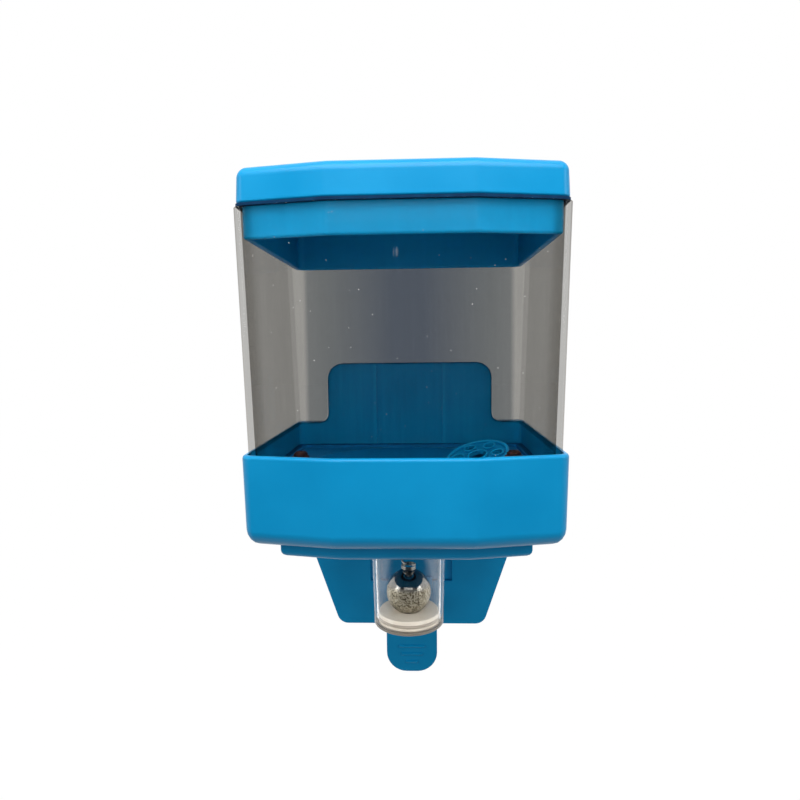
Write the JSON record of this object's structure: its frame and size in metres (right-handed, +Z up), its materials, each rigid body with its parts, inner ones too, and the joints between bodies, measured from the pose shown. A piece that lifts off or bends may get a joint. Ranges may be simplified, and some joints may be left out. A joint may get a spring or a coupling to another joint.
{
  "type": "wall-mounted oil pot",
  "caption": "Wall-hung oil pot: a smoke-clear tub with a blue lid and base, and a clear sight tube below it whose ball valve opens when the ridged tab is pushed up.",
  "frame": {"origin": "on the wall plane, midway between the two hanging holes", "axes": "+Y out of the back into the wall, +Z up, +X to the viewer's right when facing the pot"},
  "size_m": [0.1218, 0.1121, 0.2424],
  "materials": {
    "blue_plastic": "satin moulded polypropylene",
    "smoke_plastic": "polished smoke-tinted clear polystyrene",
    "clear_plastic": "polished clear polystyrene",
    "white_plastic": "turned white nylon",
    "black_rubber": "matt cut sheet",
    "grey_rubber": "moulded ring",
    "polished_steel": "polished ball",
    "spring_steel": "bright drawn wire",
    "rusty_steel": "rust-brown heads",
    "red_fibre": "pressed red fibre"
  },
  "bodies": {
    "pot": {"reservoir": "smoke_plastic", "reservoir_gasket": "black_rubber", "base": "blue_plastic", "bottom_cover": "blue_plastic", "cover_screws": "rusty_steel", "screw_washers": "red_fibre", "strainer": "blue_plastic", "sight_tube": "clear_plastic", "tube_gasket": "black_rubber", "valve_seat": "white_plastic", "seat_ring": "grey_rubber", "valve_spring": "spring_steel"},
    "cap": {"lid": "blue_plastic", "lid_seal": "black_rubber"},
    "slider": {"push_tab": "blue_plastic", "lift_pin": "spring_steel"},
    "ball": {"valve_ball": "polished_steel"}
  },
  "joints": [
    {"name": "lid_lift", "type": "slide", "parent": "pot", "child": "cap", "axis": [0, 0, 1], "range_m": [0, 0.05]},
    {"name": "tab_push", "type": "slide", "parent": "pot", "child": "slider", "axis": [0, 0, 1], "range_m": [0, 0.0035], "stiffness_N_per_m": 200, "springref_m": -0.004, "deforming": ["valve_spring"]},
    {"name": "ball_lift", "type": "slide", "parent": "pot", "child": "ball", "axis": [0, 0, 1], "range_m": [0, 0.0035]}
  ],
  "couplings": [
    {"joint": "ball_lift", "follows": "tab_push", "ratio": 1}
  ]
}
